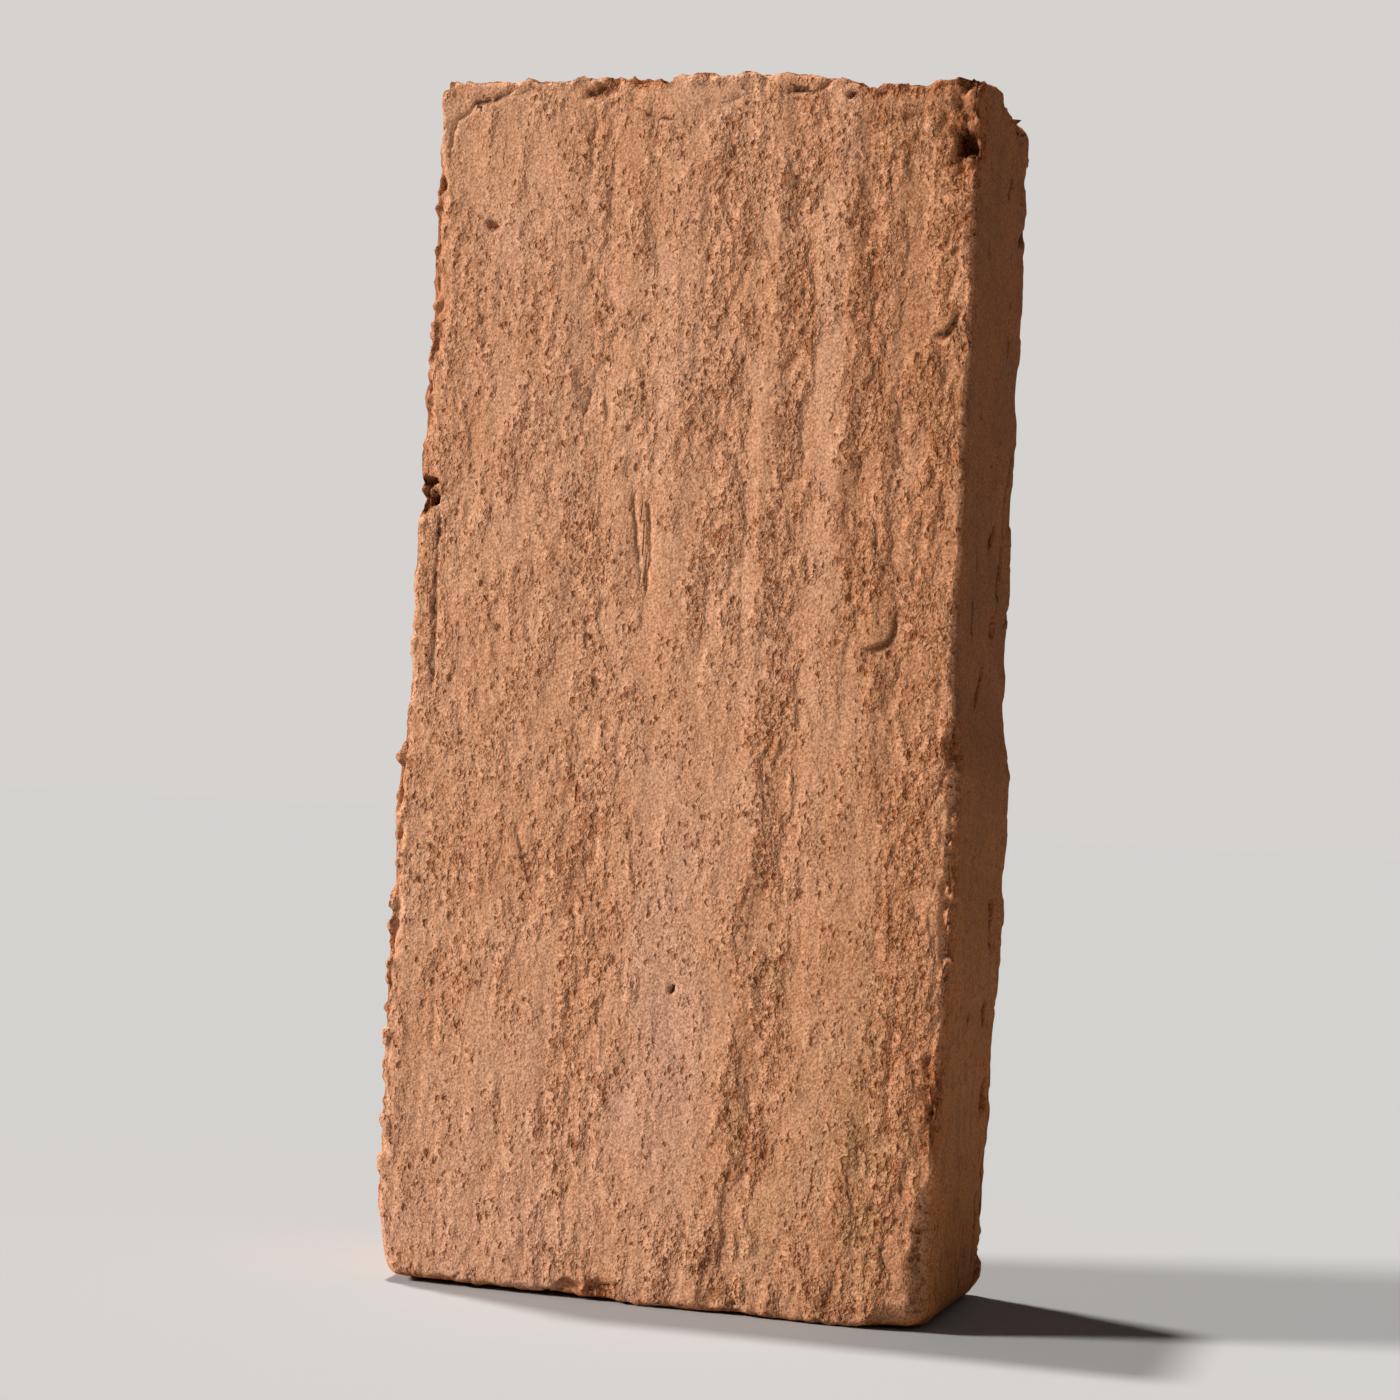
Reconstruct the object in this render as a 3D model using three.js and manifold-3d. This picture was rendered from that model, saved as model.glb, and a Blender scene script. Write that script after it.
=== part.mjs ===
import * as THREE from 'three';
import { mergeVertices } from 'three/addons/utils/BufferGeometryUtils.js';
import Module from 'manifold-3d';

// A hand-moulded clay brick standing on one end. Millimetres, +Z up.
// X runs across the brick, Y through its thickness, Z along its length.
// The origin is in the middle of the foot, the end it stands on.
// The struck face looks along -Y: it was dragged level with a board, which left long waves.
// The bed at +Y and the foot were formed by the flat mould, so they are plane.

// Driving dimensions.
const brickLength = 240;
const brickWidth = 115;
const brickThickness = 52;

// Roundings of the long edges of the struck face and of the bed.
const struckRounding = 1.3;
const bedRounding = 3.2;
// Roundings of the four short edges, between the narrow sides and the ends.
const footLeftRounding = 3.6;
const footRightRounding = 5.5;
const topLeftRounding = 3.4;
const topRightRounding = 1.8;
// The struck face's lower right corner is worn much rounder than the rest.
const wornCornerExtra = 5;
const wornCornerReachX = 15;
const wornCornerReachZ = 31;
const wornCornerCore = 0.45;

// The left side draws in above its step, near its foot, and again in its lowest corner.
const leftDrawIn = 1.6;
const leftStepLow = 92;
const leftStepHigh = 124;
const leftFootDrawIn = 1;
const leftFootLow = 18;
const leftFootHigh = 50;
const leftCornerDrawIn = 2.3;
const leftCornerLow = 1;
const leftCornerHigh = 13;
// The right side draws in above and below its belly.
const rightDrawIn = 1.9;
const rightStepLow = 104;
const rightStepHigh = 122;
const rightFootDrawIn = 1.4;
const rightFootLow = 38;
const rightFootHigh = 74;
// The struck edge of the top falls away to the right and comes up a little at its end.
const topFall = 1.9;
const topFallStart = 12;
const topFallEnd = 40;
const topReturn = 0.7;
const topReturnStart = 46;
const topReturnEnd = 57;
// The struck edge of the foot stands a little higher towards the left.
const footLift = 0.8;
const footLiftFull = -40;
const footLiftEnd = 5;
// How far the ragged struck edges wander inwards, and over what lengths.
const edgeWander = 0.9;
const longWander = 37;
const shortWander = 13;

// Depth of the struck face at each crest and trough across it, as a share of the wave depth.
// The first row is the upper half, the second the lower half.
const waveDepth = 0.85;
const upperWaves = [
  [-57, 0.3], [-48, 0.5], [-37, 0.2], [-27, 0.1], [-20, 0.65], [-12.5, 0.2], [-8.7, 0.4],
  [-1, 0], [6, 0.4], [12, 0.35], [15.3, 0.1], [20.5, 0.85], [31, 0], [35.5, 0.6],
  [39, 0.2], [42.5, 0.6], [50, 0.4], [56, 0.1],
];
const lowerWaves = [
  [-57, 0.3], [-46, 0.5], [-34, 0.2], [-28, 0.4], [-24, 0.3], [-18, 0.5], [-7, 0.15],
  [5, 0], [15, 0.1], [21.5, 0.75], [31, 0.1], [39, 0.1], [44, 0.5], [50, 0.4], [56, 0.1],
];
const wavesChangeLow = 95;
const wavesChangeHigh = 150;
// Below this height the waves swing towards the left as they near the foot.
const swingHeight = 78;
const swingAtFoot = 6.5;

// The clay pushed over the top edge of the mould forms a low folded lip, broken along its
// length, and the clay at the foot flares out as far.
const lipHeight = 6.5;
const lipRise = 0.5;
const lipSlope = 4.5;
const lipWander = 2.2;
const lipFlattensWaves = 0.6;
const flareHeight = 15;

// Steps of the surface: across, along, and the levels down the narrow sides.
const stepsAcross = 36;
const stepsAlong = 46;
const sideLevels = [-17, -9, 0, 9, 17];

const halfWidth = brickWidth / 2;
const struckY = -brickThickness / 2;
const bedY = brickThickness / 2;

function rise(low, high, value) {
  const share = Math.min(1, Math.max(0, (value - low) / (high - low)));
  return share * share * (3 - 2 * share);
}

// Smooth curve through crests and troughs, level at each of them.
function alongWaves(waves, x) {
  if (x <= waves[0][0]) return waves[0][1];
  for (let i = 1; i < waves.length; i += 1) {
    const [endX, endDepth] = waves[i];
    const [startX, startDepth] = waves[i - 1];
    if (x <= endX) return startDepth + (endDepth - startDepth) * rise(startX, endX, x);
  }
  return waves[waves.length - 1][1];
}

// Depth of the struck face below its highest line, with the lip and the flare taken off it.
function struckDepth(x, z) {
  const swing = Math.max(0, 1 - z / swingHeight);
  const swungX = x + swingAtFoot * swing * swing;
  const upper = rise(wavesChangeLow, wavesChangeHigh, z);
  const lower = alongWaves(lowerWaves, swungX);
  const waves = lower + (alongWaves(upperWaves, swungX) - lower) * upper;
  const lipLine = brickLength - lipHeight + lipWander * Math.sin(x / 9) * Math.cos(x / 23);
  const lipHere = 0.55 + 0.45 * Math.cos(x / 7.5 + 1);
  const lip = lipHere * rise(lipLine - lipSlope, lipLine, z);
  const flare = 1 - rise(0, flareHeight, z);
  return lipRise * (1 - Math.max(lip, flare)) + waveDepth * waves * (1 - lipFlattensWaves * lip);
}

function wander(along, start) {
  const long = Math.sin(2 * Math.PI * (along / longWander + start));
  const short = Math.sin(2 * Math.PI * (along / shortWander + 2.3 * start));
  return edgeWander * (0.5 + 0.3 * long + 0.2 * short);
}

// How far each side stands in from the full width or length. Ragged is 1 at the struck edge.
function leftInset(z, ragged) {
  const above = leftDrawIn * rise(leftStepLow, leftStepHigh, z);
  const below = leftFootDrawIn * (1 - rise(leftFootLow, leftFootHigh, z));
  const corner = leftCornerDrawIn * (1 - rise(leftCornerLow, leftCornerHigh, z));
  return above + below + corner + ragged * wander(z, 0.1);
}

function rightInset(z, ragged) {
  const above = rightDrawIn * rise(rightStepLow, rightStepHigh, z);
  const below = rightFootDrawIn * (1 - rise(rightFootLow, rightFootHigh, z));
  return above + below + ragged * wander(z, 0.62);
}

function topInset(x, ragged) {
  const fall = topFall * rise(topFallStart, topFallEnd, x);
  return fall - topReturn * rise(topReturnStart, topReturnEnd, x) + ragged * wander(x, 0.35);
}

function footInset(x, ragged) {
  const lift = footLift * (1 - rise(footLiftFull, footLiftEnd, x));
  return ragged * (lift + wander(x, 0.8));
}

// Points along one side, closer together in the rounded corner at each end.
function spacedAlong(total, startRounding, endRounding, steps) {
  const places = [0, startRounding / 2];
  const straight = total - startRounding - endRounding;
  for (let i = 0; i <= steps - 4; i += 1) {
    places.push(startRounding + straight * i / (steps - 4));
  }
  places.push(total - endRounding / 2, total);
  return places;
}

function cornerOf(x, z) {
  if (z < brickLength / 2) {
    return x < 0
      ? [-1, 0, footLeftRounding]
      : [1, 0, footRightRounding];
  }
  return x < 0
    ? [-1, 1, topLeftRounding]
    : [1, 1, topRightRounding];
}

// The four sides in turn, starting at the lower left and going round by the lower right.
const footPlaces = spacedAlong(brickWidth, footLeftRounding, footRightRounding, stepsAcross);
const rightPlaces = spacedAlong(brickLength, footRightRounding, topRightRounding, stepsAlong);
const topPlaces = spacedAlong(brickWidth, topRightRounding, topLeftRounding, stepsAcross);
const leftPlaces = spacedAlong(brickLength, topLeftRounding, footLeftRounding, stepsAlong);
const squareLoop = [
  ...footPlaces.slice(0, -1).map((place) => [place - halfWidth, 0]),
  ...rightPlaces.slice(0, -1).map((place) => [halfWidth, place]),
  ...topPlaces.slice(0, -1).map((place) => [halfWidth - place, brickLength]),
  ...leftPlaces.slice(0, -1).map((place) => [-halfWidth, brickLength - place]),
];

// One point of the outline, drawn in by inset, with its corners rounded.
function outlinePoint([x, z], inset, ragged) {
  const [side, end, rounding] = cornerOf(x, z);
  const cornerX = side * (halfWidth - rounding);
  const cornerZ = end ? brickLength - rounding : rounding;
  const overX = Math.max(0, side * (x - cornerX));
  const overZ = Math.max(0, end ? z - cornerZ : cornerZ - z);
  const reach = Math.hypot(overX, overZ);
  const keep = (rounding - Math.min(inset, 0.9 * rounding)) / reach;
  const roundX = overX > 0 ? cornerX + side * overX * keep : x;
  const roundZ = overZ > 0 ? cornerZ + (end ? 1 : -1) * overZ * keep : z;
  const toRight = (roundX + halfWidth) / brickWidth;
  const toTop = roundZ / brickLength;
  const left = leftInset(roundZ, ragged) * (1 - toRight);
  const right = rightInset(roundZ, ragged) * toRight;
  const foot = footInset(roundX, ragged) * (1 - toTop);
  const top = topInset(roundX, ragged) * toTop;
  return [roundX + left - right, roundZ + foot - top];
}

// The struck edge is rounder towards the worn lower right corner.
function edgeRounding(x, z) {
  const away = Math.hypot((x - halfWidth) / wornCornerReachX, z / wornCornerReachZ);
  return struckRounding + wornCornerExtra * (1 - rise(wornCornerCore, 1, away));
}

// Loops of points from the struck face round the edge, down the sides and round to the bed.
function struckLoop(turn, ragged) {
  return squareLoop.map((place) => {
    const rounding = edgeRounding(...place);
    const [x, z] = outlinePoint(place, rounding * (1 - Math.sin(turn)), ragged);
    return [x, struckY + struckDepth(x, z) + rounding * (1 - Math.cos(turn)), z];
  });
}

function sideLoop(y) {
  return squareLoop.map((place) => {
    const [x, z] = outlinePoint(place, 0, 0);
    return [x, y, z];
  });
}

function bedLoop(turn) {
  return squareLoop.map((place) => {
    const [x, z] = outlinePoint(place, bedRounding * (1 - Math.sin(turn)), 0);
    return [x, bedY - bedRounding * (1 - Math.cos(turn)), z];
  });
}

const quarter = Math.PI / 2;
const loops = [
  struckLoop(0, 1),
  struckLoop(quarter / 2, 1),
  struckLoop(quarter, 0.7),
  ...sideLevels.map(sideLoop),
  bedLoop(quarter),
  bedLoop(quarter / 2),
  bedLoop(0),
];

// The struck face between its four edges: a patch blended from the first loop.
function struckPatch(loop) {
  const across = stepsAcross;
  const along = stepsAlong;
  const foot = (i) => loop[i];
  const right = (j) => loop[across + j];
  const top = (i) => loop[2 * across + along - i];
  const left = (j) => loop[(2 * across + 2 * along - j) % loop.length];
  const inside = [];
  for (let j = 1; j < along; j += 1) {
    for (let i = 1; i < across; i += 1) {
      const u = i / across;
      const v = j / along;
      const [x, , z] = [0, 1, 2].map((axis) => {
        const upright = (1 - v) * foot(i)[axis] + v * top(i)[axis];
        const level = (1 - u) * left(j)[axis] + u * right(j)[axis];
        const low = (1 - u) * foot(0)[axis] + u * foot(across)[axis];
        const high = (1 - u) * top(0)[axis] + u * top(across)[axis];
        return upright + level - (1 - v) * low - v * high;
      });
      inside.push([x, struckY + struckDepth(x, z), z]);
    }
  }
  return inside;
}

// The whole skin of the brick as one closed set of triangles.
function brickSkin() {
  const around = squareLoop.length;
  const points = loops.flat();
  const insideStart = points.length;
  points.push(...struckPatch(loops[0]));
  const bedCentre = points.length;
  points.push([0, bedY, brickLength / 2]);
  const faces = [];
  for (let row = 0; row < loops.length - 1; row += 1) {
    for (let i = 0; i < around; i += 1) {
      const next = (i + 1) % around;
      const a = row * around + i;
      const b = row * around + next;
      const c = a + around;
      const d = b + around;
      faces.push(a, c, b, b, c, d);
    }
  }
  const lastLoop = (loops.length - 1) * around;
  for (let i = 0; i < around; i += 1) {
    faces.push(lastLoop + (i + 1) % around, lastLoop + i, bedCentre);
  }
  const patchPoint = (i, j) => {
    if (j === 0) return i;
    if (i === stepsAcross) return stepsAcross + j;
    if (j === stepsAlong) return 2 * stepsAcross + stepsAlong - i;
    if (i === 0) return around - j;
    return insideStart + (j - 1) * (stepsAcross - 1) + i - 1;
  };
  for (let j = 0; j < stepsAlong; j += 1) {
    for (let i = 0; i < stepsAcross; i += 1) {
      const a = patchPoint(i, j);
      const b = patchPoint(i + 1, j);
      const c = patchPoint(i + 1, j + 1);
      const d = patchPoint(i, j + 1);
      faces.push(a, b, c, a, c, d);
    }
  }
  const skin = new THREE.BufferGeometry();
  skin.setAttribute('position', new THREE.Float32BufferAttribute(points.flat(), 3));
  skin.setIndex(faces);
  return skin;
}

// A lump of clay or the hollow it leaves: an uneven ball stretched to its size.
function lump(place, size, lean, shift) {
  const ball = new THREE.IcosahedronGeometry(1, 2);
  ball.deleteAttribute('normal');
  ball.deleteAttribute('uv');
  const shape = mergeVertices(ball, 1e-5);
  const spots = shape.getAttribute('position');
  const spot = new THREE.Vector3();
  for (let i = 0; i < spots.count; i += 1) {
    spot.fromBufferAttribute(spots, i);
    const uneven = Math.sin(4.1 * spot.x + shift) * Math.cos(3.7 * spot.z - 2 * shift);
    spot.multiplyScalar(1 + 0.16 * uneven + 0.08 * Math.sin(6.3 * spot.y + 3 * shift));
    spots.setXYZ(i, spot.x, spot.y, spot.z);
  }
  shape.scale(...size);
  shape.rotateY(lean);
  shape.translate(...place);
  return shape;
}

// Clay smeared up from the struck face. Each has a place, a half size, a lean and a shift.
const leftX = -halfWidth;
const rightX = halfWidth;
const topZ = brickLength;
const smears = [
  lump([rightX - 18.6, struckY + 1.4, 133.2], [4.5, 1.3, 5.6], 0.14, 0.4),
  lump([rightX - 8.6, struckY + 1.6, 127.2], [1.9, 1.2, 2.6], -0.4, 2.2),
  lump([rightX - 23.3, struckY + 1.7, 181.6], [2.6, 1.2, 3], -0.2, 3.1),
  lump([19.5, struckY + 1.2, topZ - 2.4], [5.4, 1.3, 1.6], 0, 1.1),
];

// Chips broken from the edges and corners, and holes where stones fell out.
const hollows = [
  lump([rightX - 0.4, struckY - 0.8, topZ - 9], [2.6, 2.4, 9], 0.06, 0.3),
  lump([rightX - 4.6, struckY + 2, topZ - 15.3], [1.9, 4.2, 1.8], 0.3, 1.7),
  lump([rightX - 4.6, struckY + 0.8, topZ - 3.2], [3.2, 2.4, 1.5], -0.2, 2.6),
  lump([rightX - 0.6, struckY + 0.4, topZ - 22], [1.6, 1.8, 3.2], 0, 0.9),
  lump([rightX - 1.3, struckY + 0.6, 109.5], [2, 2.2, 3.4], 0.1, 1.3),
  lump([rightX - 1.8, struckY + 0.6, 43.5], [1.7, 1.9, 2.6], -0.12, 0.2),
  lump([rightX - 2.4, struckY + 0.6, 38.4], [1.5, 1.6, 1.9], 0.3, 2.9),
  lump([rightX - 2.3, struckY + 0.6, 33.4], [1.5, 1.5, 1.8], -0.3, 1.1),
  lump([leftX + 4.4, struckY + 1.6, 158.8], [1.6, 3.6, 1], 0.1, 2.1),
  lump([leftX + 4.9, struckY + 1.6, 155], [1.7, 3.4, 1.6], -0.4, 0.6),
  lump([-21.4, struckY + 1.3, topZ - 2.4], [2.8, 2.8, 1.6], 0.4, 1.9),
  lump([-13, struckY + 0.6, topZ - 0.2], [6.5, 2.4, 1.5], 0, 2.4),
  lump([33.5, struckY + 1, topZ - 2.6], [2.4, 2.4, 1.5], 0.3, 0.5),
  lump([-8.6, struckY + 0.6, 2.2], [3.4, 1.9, 2.2], -0.1, 1.5),
  lump([-15, struckY + 0.6, 2], [2.6, 1.6, 1.8], 0.2, 0.1),
  lump([2.9, struckY + 1.2, 61], [0.8, 1.6, 0.8], 0, 1.2),
  lump([leftX + 14.8, struckY + 0.8, topZ - 29.6], [1.3, 1.7, 1], 0.2, 3.3),
  lump([rightX + 0.3, 9.6, 79.3], [1.9, 1.7, 2.7], 0, 2.7),
  lump([rightX - 0.2, 10.5, 58.4], [1.8, 1.6, 2.4], 0, 0.8),
];

const wasm = await Module();
wasm.setup();

function asSolid(shape) {
  return new wasm.Manifold(new wasm.Mesh({
    numProp: 3,
    vertProperties: new Float32Array(shape.getAttribute('position').array),
    triVerts: new Uint32Array(shape.getIndex().array),
  }));
}

let solid = asSolid(brickSkin());
for (const smear of smears) {
  solid = solid.add(asSolid(smear));
}
for (const hollow of hollows) {
  solid = solid.subtract(asSolid(hollow));
}

const skin = solid.getMesh();
const brickGeometry = new THREE.BufferGeometry();
brickGeometry.setAttribute('position', new THREE.BufferAttribute(skin.vertProperties, 3));
brickGeometry.setIndex(new THREE.BufferAttribute(skin.triVerts, 1));
brickGeometry.computeVertexNormals();

// Low-fired red clay, dusty and quite matt.
const firedClay = new THREE.MeshStandardMaterial({
  name: 'fired_clay',
  color: 0xbd8a69,
  roughness: 0.92,
  metalness: 0,
});

const brick = new THREE.Mesh(brickGeometry, firedClay);
brick.name = 'clay_brick';

const group = new THREE.Group();
group.add(brick);

export default group;
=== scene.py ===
import bpy
import numpy as np
from mathutils import Matrix, Vector


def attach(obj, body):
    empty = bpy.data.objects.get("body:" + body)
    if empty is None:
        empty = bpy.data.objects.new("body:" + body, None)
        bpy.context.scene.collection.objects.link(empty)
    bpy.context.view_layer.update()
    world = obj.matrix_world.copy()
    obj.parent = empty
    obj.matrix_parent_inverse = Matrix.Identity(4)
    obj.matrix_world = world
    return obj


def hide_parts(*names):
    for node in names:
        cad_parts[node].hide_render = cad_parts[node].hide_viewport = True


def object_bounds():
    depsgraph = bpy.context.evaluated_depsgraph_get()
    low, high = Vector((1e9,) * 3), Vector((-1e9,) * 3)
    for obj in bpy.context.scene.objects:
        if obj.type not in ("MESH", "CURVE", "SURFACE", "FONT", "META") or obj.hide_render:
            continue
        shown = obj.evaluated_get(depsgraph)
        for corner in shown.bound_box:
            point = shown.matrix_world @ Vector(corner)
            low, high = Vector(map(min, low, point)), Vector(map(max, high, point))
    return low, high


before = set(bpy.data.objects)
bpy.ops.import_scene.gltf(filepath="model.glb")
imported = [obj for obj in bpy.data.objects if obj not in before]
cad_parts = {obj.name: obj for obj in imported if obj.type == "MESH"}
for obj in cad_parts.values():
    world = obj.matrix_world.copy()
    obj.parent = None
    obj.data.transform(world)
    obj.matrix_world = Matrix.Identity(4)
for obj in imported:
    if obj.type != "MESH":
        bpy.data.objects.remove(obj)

cad_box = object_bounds()

# ----------------------------------------------------------------------------------------
# The brick. One block of red clay pressed by hand into a wooden mould, dragged level with a
# board on its struck face, turned out, dried and fired at low heat. The board left long waves
# and torn grain in the struck face; its edges were broken in handling. Sizes are millimetres.

# The right, back and top of the brick's solid give the sizes that the rest is worked out from.
half_width, bed_y, brick_length = np.round(1000 * np.array(cad_box[1]), 1)
brick_width = 2 * half_width
struck_y = -bed_y
mid_height = brick_length / 2

# Roundings of the struck edge, the bed's edge and the four corners: left or right, foot or top.
struck_rounding = 1.3
bed_rounding = 3.2
corner_roundings = {(-1, 0): 3.6, (1, 0): 5.5, (-1, 1): 3.4, (1, 1): 1.8}
worn_corner_extra = 5.0
worn_corner_core = 0.45
worn_corner_reach = (15, 31)

# How far the sides stand in from the full size, and the two places between which that changes.
left_draw_in = (1.6, 92, 124)
left_foot_draw_in = (1.0, 18, 50)
left_corner_draw_in = (2.3, 1, 13)
right_draw_in = (1.9, 104, 122)
right_foot_draw_in = (1.4, 38, 74)
top_fall = (1.9, 12, 40)
top_return = (0.7, 46, 57)
foot_lift = (0.8, -40, 5)
edge_wander = 0.9
long_wander = 37
short_wander = 13

# Waves of the board: crests and troughs as x and depth, above and below the heights of change.
wave_depth = 0.85
waves_change = (95, 150)
upper_waves = np.array([
    (-57, 0.3), (-48, 0.5), (-37, 0.2), (-27, 0.1), (-20, 0.65), (-12.5, 0.2), (-8.7, 0.4),
    (-1, 0), (6, 0.4), (12, 0.35), (15.3, 0.1), (20.5, 0.85), (31, 0), (35.5, 0.6),
    (39, 0.2), (42.5, 0.6), (50, 0.4), (56, 0.1),
])
lower_waves = np.array([
    (-57, 0.3), (-46, 0.5), (-34, 0.2), (-28, 0.4), (-24, 0.3), (-18, 0.5), (-7, 0.15),
    (5, 0), (15, 0.1), (21.5, 0.75), (31, 0.1), (39, 0.1), (44, 0.5), (50, 0.4), (56, 0.1),
])
swing_height = 78
swing_at_foot = 6.5

# The lip folded over along the top edge, and the flare of the struck face above the foot.
lip_height = 6.5
lip_rise = 0.5
lip_slope = 4.5
lip_wander = 2.2
lip_flattens_waves = 0.6
flare_height = 15


def rise(low, high, value):
    """Smooth step: 0 at low, 1 at high, t^2 (3 - 2t) between."""
    t = np.clip((value - low) / (high - low), 0.0, 1.0)
    return t * t * (3 - 2 * t)


def along_waves(waves, x):
    """Depth at x on a smooth curve through crests and troughs, level at each of them."""
    i = np.clip(np.searchsorted(waves[:, 0], x, side="left"), 1, len(waves) - 1)
    start, end = waves[i - 1], waves[i]
    return start[..., 1] + (end[..., 1] - start[..., 1]) * rise(start[..., 0], end[..., 0], x)


def struck_swing(x, z):
    """x moved to where the board's path stood before it swung left near the foot."""
    swing = np.maximum(0, 1 - z / swing_height)
    return x + swing_at_foot * swing * swing


def lip_share(x, z):
    """1 on the folded lip along the top edge, 0 below its wandering lower line."""
    line = brick_length - lip_height + lip_wander * np.sin(x / 9) * np.cos(x / 23)
    return rise(line - lip_slope, line, z) * (0.55 + 0.45 * np.cos(x / 7.5 + 1.0))


def struck_depth(x, z):
    """Depth below the highest line: the upper and lower waves blended, less the lip or flare."""
    swung = struck_swing(x, z)
    upper = rise(*waves_change, z)
    lower = along_waves(lower_waves, swung)
    waves = lower + (along_waves(upper_waves, swung) - lower) * upper
    lip = lip_share(x, z)
    flare = 1 - rise(0, flare_height, z)
    flattened = wave_depth * waves * (1 - lip_flattens_waves * lip)
    return lip_rise + flattened - lip_rise * np.maximum(lip, flare)


def wander(along, start):
    """How far a struck edge stands in: half its reach plus a long and a short sine."""
    long = np.sin(2 * np.pi * (along / long_wander + start))
    short = np.sin(2 * np.pi * (along / short_wander + 2.3 * start))
    return edge_wander * (0.5 + 0.3 * long + 0.2 * short)


def grows(draw_in, along):
    """A draw-in that is none up to its first place and whole from its second on."""
    amount, start, end = draw_in
    return amount * rise(start, end, along)


def fades(draw_in, along):
    """A draw-in that is whole up to its first place and none from its second on."""
    amount, start, end = draw_in
    return amount * (1 - rise(start, end, along))


def outline_point(x, z, inset, ragged):
    """A point of the square outline, its corner rounded and drawn in, then each side's own inset."""
    rounding = np.select(
        [(x < 0) & (z < mid_height), (x >= 0) & (z < mid_height), x < 0],
        [corner_roundings[-1, 0], corner_roundings[1, 0], corner_roundings[-1, 1]],
        corner_roundings[1, 1],
    )
    side = np.where(x < 0, -1.0, 1.0)
    end = np.where(z < mid_height, -1.0, 1.0)
    corner_x = side * (half_width - rounding)
    corner_z = np.where(z < mid_height, rounding, brick_length - rounding)
    over_x = np.maximum(0, side * (x - corner_x))
    over_z = np.maximum(0, end * (z - corner_z))
    reach = np.maximum(np.hypot(over_x, over_z), 1e-9)
    keep = (rounding - np.minimum(inset, 0.9 * rounding)) / reach
    round_x = np.where(over_x > 0, corner_x + side * over_x * keep, x)
    round_z = np.where(over_z > 0, corner_z + end * over_z * keep, z)
    to_right = (round_x + half_width) / brick_width
    to_top = round_z / brick_length
    left = grows(left_draw_in, round_z) + fades(left_foot_draw_in, round_z)
    left = left + fades(left_corner_draw_in, round_z) + ragged * wander(round_z, 0.1)
    right = grows(right_draw_in, round_z) + fades(right_foot_draw_in, round_z)
    right = right + ragged * wander(round_z, 0.62)
    foot = ragged * (fades(foot_lift, round_x) + wander(round_x, 0.8))
    top = grows(top_fall, round_x) - grows(top_return, round_x) + ragged * wander(round_x, 0.35)
    return (round_x + left * (1 - to_right) - right * to_right,
            round_z + foot * (1 - to_top) - top * to_top)


def edge_rounding(x, z):
    """Rounding of the struck edge, far larger on the worn lower right corner."""
    reach_x, reach_z = worn_corner_reach
    away = np.hypot((x - half_width) / reach_x, z / reach_z)
    return struck_rounding + worn_corner_extra * (1 - rise(worn_corner_core, 1.0, away))


def square_loop(across, along):
    """Evenly spaced points round the plain rectangle, from the lower left by the lower right."""
    u = np.arange(across) / across
    v = np.arange(along) / along
    x = np.concatenate([u, np.ones(along), 1 - u, np.zeros(along)]) * brick_width - half_width
    z = np.concatenate([np.zeros(across), v, np.ones(across), 1 - v]) * brick_length
    return x, z


def struck_loop(square, turn, ragged):
    """Loop on the struck edge's rounding: inset r(1 - sin turn), set back r(1 - cos turn)."""
    rounding = edge_rounding(*square)
    x, z = outline_point(*square, rounding * (1 - np.sin(turn)), ragged)
    y = struck_y + struck_depth(x, z) + rounding * (1 - np.cos(turn))
    return np.stack([x, y, z], axis=1)


def level_loop(square, y, inset):
    """Loop round the narrow sides at one depth y, without the raggedness."""
    x, z = outline_point(*square, inset, 0.0)
    return np.stack([x, np.full_like(x, y), z], axis=1)


def patch_inside(loop, across, along):
    """Points inside a closed loop: opposite sides blended both ways, less the blended corners."""
    foot = loop[:across + 1]
    right = loop[across:across + along + 1]
    top = loop[across + along:2 * across + along + 1][::-1]
    left = np.concatenate([loop[2 * across + along:], loop[:1]])[::-1]
    u = (np.arange(1, across) / across)[None, :, None]
    v = (np.arange(1, along) / along)[:, None, None]
    upright = (1 - v) * foot[None, 1:-1] + v * top[None, 1:-1]
    level = (1 - u) * left[1:-1, None] + u * right[1:-1, None]
    low = (1 - u) * foot[0] + u * foot[-1]
    high = (1 - u) * top[0] + u * top[-1]
    return (upright + level - (1 - v) * low - v * high).reshape(-1, 3)


def patch_numbers(loop_start, inside_start, across, along):
    """Point numbers of a patch as a grid, its rim taken from the loop."""
    grid = np.empty((along + 1, across + 1), dtype=np.int64)
    around = 2 * (across + along)
    grid[0, :] = loop_start + np.arange(across + 1)
    grid[:, -1] = loop_start + across + np.arange(along + 1)
    grid[-1, :] = loop_start + 2 * across + along - np.arange(across + 1)
    grid[:, 0] = loop_start + (around - np.arange(along + 1)) % around
    grid[1:-1, 1:-1] = inside_start + np.arange((along - 1) * (across - 1)).reshape(along - 1, -1)
    return grid


def grid_quads(grid):
    """Four point numbers for each cell of a grid, turning from across to along."""
    return np.stack([grid[:-1, :-1], grid[:-1, 1:], grid[1:, 1:], grid[1:, :-1]], axis=-1).reshape(-1, 4)


# Points across the brick and along it, about 0.7 mm apart, and half and a quarter of them where
# the back is plain. The raggedness of the struck edge has died away at the depth side_start.
across = 160
along = 340
around = 2 * (across + along)
side_start = -17.0
bed_rim = 0.975
fine_square = square_loop(across, along)
coarse_square = square_loop(across // 2, along // 2)
bed_square = square_loop(across // 4, along // 4)

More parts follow.
